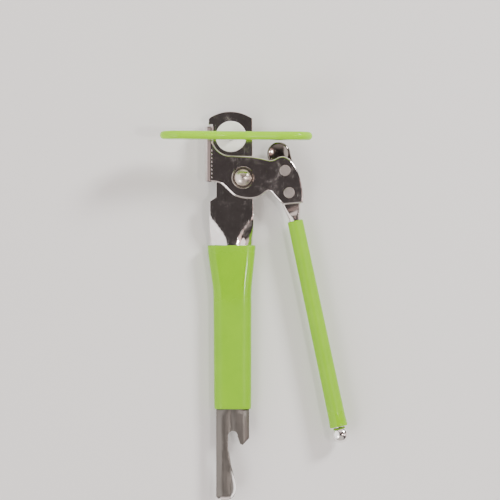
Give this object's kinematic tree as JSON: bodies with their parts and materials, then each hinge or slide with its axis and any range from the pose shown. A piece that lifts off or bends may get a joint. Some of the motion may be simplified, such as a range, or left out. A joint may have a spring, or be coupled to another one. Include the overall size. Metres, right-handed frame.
{
  "type": "manual can opener",
  "caption": "Hand can opener with two riveted levers in soft sleeves, a winged key that turns a toothed feed wheel, a fixed blade and a bottle-opening tail.",
  "frame": {"origin": "centre of the pivot rivet's flat tail face, on the pivot axis", "axes": "+Z along the pivot and wing axes towards the wing, +Y from the pivot towards the head, +X towards the short handle"},
  "size_m": [0.0941, 0.1938, 0.0364],
  "materials": {
    "polished_strip": "mirror plating, duller towards the tail",
    "lime_vinyl": "satin soft-touch vinyl",
    "polished_rivet": "polished",
    "plain_steel": "plain",
    "white_nylon": "matte",
    "mirror_plate": "mirror plating",
    "ground_steel": "ground and hardened",
    "polished_tube": "polished",
    "satin_rivet": "satin",
    "polished_ball": "polished"
  },
  "bodies": {
    "long_side": {"long_lever": "polished_strip", "long_handle_grip": "lime_vinyl", "pivot_rivet": "polished_rivet", "pivot_front_washer": "polished_rivet", "pivot_rear_washer": "plain_steel", "nylon_washer": "white_nylon", "feed_washer": "plain_steel"},
    "short_side": {"front_plate": "mirror_plate", "cutter_blade": "ground_steel", "blade_rivet_upper": "plain_steel", "blade_rivet_lower": "plain_steel", "short_handle_tube": "polished_tube", "handle_rivet_upper": "satin_rivet", "handle_rivet_lower": "satin_rivet", "short_handle_grip": "lime_vinyl", "ball_end_cap": "polished_ball"},
    "key": {"wing_core": "plain_steel", "wing_coating": "lime_vinyl", "wing_pin": "plain_steel", "drive_spindle": "plain_steel", "feed_wheel": "ground_steel"}
  },
  "joints": [
    {"name": "lever_pivot", "type": "hinge", "parent": "long_side", "child": "short_side", "pos_m": [0, 0, 0], "axis": [0, 0, 1], "range_deg": [-2, 22]},
    {"name": "wing_turn", "type": "hinge", "parent": "long_side", "child": "key", "pos_m": [-0.006, 0.0205, 0], "axis": [0, 0, 1], "continuous": true}
  ]
}
